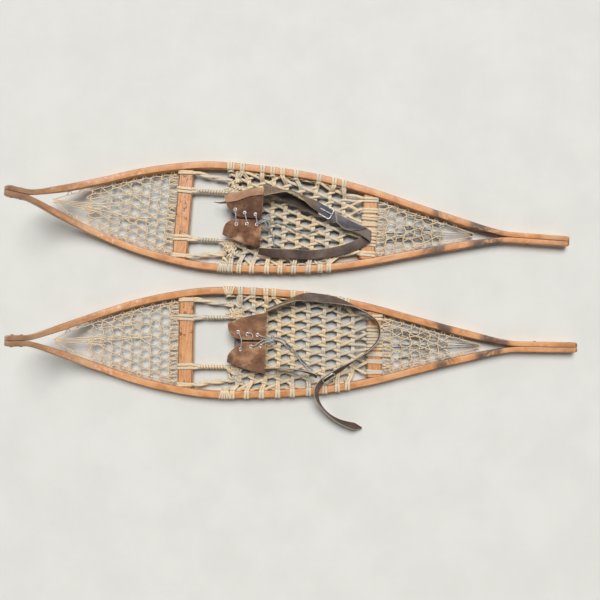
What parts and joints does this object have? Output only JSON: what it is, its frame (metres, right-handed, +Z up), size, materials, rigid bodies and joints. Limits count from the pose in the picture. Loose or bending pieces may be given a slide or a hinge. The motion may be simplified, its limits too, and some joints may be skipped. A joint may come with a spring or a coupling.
{
  "type": "snowshoes",
  "caption": "Pair of bent-wood trail snowshoes with pointed toes and tails, woven rawhide decks and laced leather toe bindings with buckled heel straps.",
  "frame": {"origin": "on the ground under the middle of the pair's bounding box", "axes": "+X runs from the upturned toes to the tails, +Y from the left shoe to the right shoe, +Z up from the ground"},
  "size_m": [1.4942, 0.7396, 0.1594],
  "materials": {
    "wood": "varnished bent ash, worn",
    "rawhide": "varnished rawhide strips, greyed",
    "fine_babiche": "thin twisted rawhide",
    "flap_leather": "worn brown suede",
    "strap_leather": "dark oiled strap leather",
    "lace_cotton": "waxed grey cord",
    "metal": "nickel plate, dulled"
  },
  "bodies": {
    "right_shoe": {"right_outboard_rail": "wood", "right_inboard_rail": "wood", "right_front_crossbar": "wood", "right_rear_crossbar": "wood", "right_tail_rivet": "metal", "right_toe_rear_rivet": "metal", "right_toe_front_rivet": "metal", "right_toe_net": "fine_babiche", "right_tail_net": "fine_babiche", "right_centre_webbing": "rawhide", "right_outboard_rail_wraps": "rawhide", "right_inboard_rail_wraps": "rawhide", "right_toe_cord": "rawhide"},
    "right_binding": {"right_toe_sole": "flap_leather", "right_outboard_flap": "flap_leather", "right_inboard_flap": "flap_leather", "right_outboard_eyelet_1": "metal", "right_outboard_eyelet_2": "metal", "right_outboard_eyelet_3": "metal", "right_inboard_eyelet_1": "metal", "right_inboard_eyelet_2": "metal", "right_inboard_eyelet_3": "metal", "right_toe_lace": "lace_cotton", "right_lace_end_1": "lace_cotton", "right_lace_end_2": "lace_cotton"},
    "right_heel": {"right_heel_strap": "strap_leather", "right_buckle_strap": "strap_leather", "right_buckle_frame": "metal"},
    "right_prong": {"right_buckle_prong": "metal"},
    "left_shoe": {"left_outboard_rail": "wood", "left_inboard_rail": "wood", "left_front_crossbar": "wood", "left_rear_crossbar": "wood", "left_tail_rivet": "metal", "left_toe_rear_rivet": "metal", "left_toe_front_rivet": "metal", "left_toe_net": "fine_babiche", "left_tail_net": "fine_babiche", "left_centre_webbing": "rawhide", "left_outboard_rail_wraps": "rawhide", "left_inboard_rail_wraps": "rawhide", "left_toe_cord": "rawhide"},
    "left_binding": {"left_toe_sole": "flap_leather", "left_outboard_flap": "flap_leather", "left_inboard_flap": "flap_leather", "left_outboard_eyelet_1": "metal", "left_outboard_eyelet_2": "metal", "left_outboard_eyelet_3": "metal", "left_inboard_eyelet_1": "metal", "left_inboard_eyelet_2": "metal", "left_inboard_eyelet_3": "metal", "left_toe_lace": "lace_cotton", "left_lace_end_1": "lace_cotton", "left_lace_end_2": "lace_cotton"},
    "left_heel": {"left_heel_strap": "strap_leather", "left_buckle_strap": "strap_leather", "left_buckle_frame": "metal"},
    "left_prong": {"left_buckle_prong": "metal"}
  },
  "joints": [
    {"name": "left_shoe_lift", "type": "slide", "parent": "right_shoe", "child": "left_shoe", "axis": [0, 0, 1], "range_m": [0, 0.3]},
    {"name": "right_binding_pivot", "type": "hinge", "parent": "right_shoe", "child": "right_binding", "pos_m": [-0.18464, 0.2148, 0.013], "axis": [-0.0729, -0.9973, 0], "range_deg": [0, 70]},
    {"name": "right_heel_strap_lift", "type": "hinge", "parent": "right_binding", "child": "right_heel", "pos_m": [-0.10585, 0.20905, 0.0385], "axis": [-0.0729, -0.9973, 0], "range_deg": [0, 75]},
    {"name": "right_prong_pivot", "type": "hinge", "parent": "right_heel", "child": "right_prong", "pos_m": [0.05217, 0.2352, 0.03755], "axis": [-0.4876, -0.8731, 0], "range_deg": [0, 90]},
    {"name": "left_binding_pivot", "type": "hinge", "parent": "left_shoe", "child": "left_binding", "pos_m": [-0.17299, -0.12793, 0.013], "axis": [-0.0145, -0.9999, 0], "range_deg": [0, 70]},
    {"name": "left_heel_strap_lift", "type": "hinge", "parent": "left_binding", "child": "left_heel", "pos_m": [-0.094, -0.12907, 0.049], "axis": [-0.0145, -0.9999, 0], "range_deg": [0, 75]},
    {"name": "left_prong_pivot", "type": "hinge", "parent": "left_heel", "child": "left_prong", "pos_m": [0.06032, -0.23353, 0.04518], "axis": [0.3054, -0.4855, -0.8192], "range_deg": [0, 90]}
  ]
}
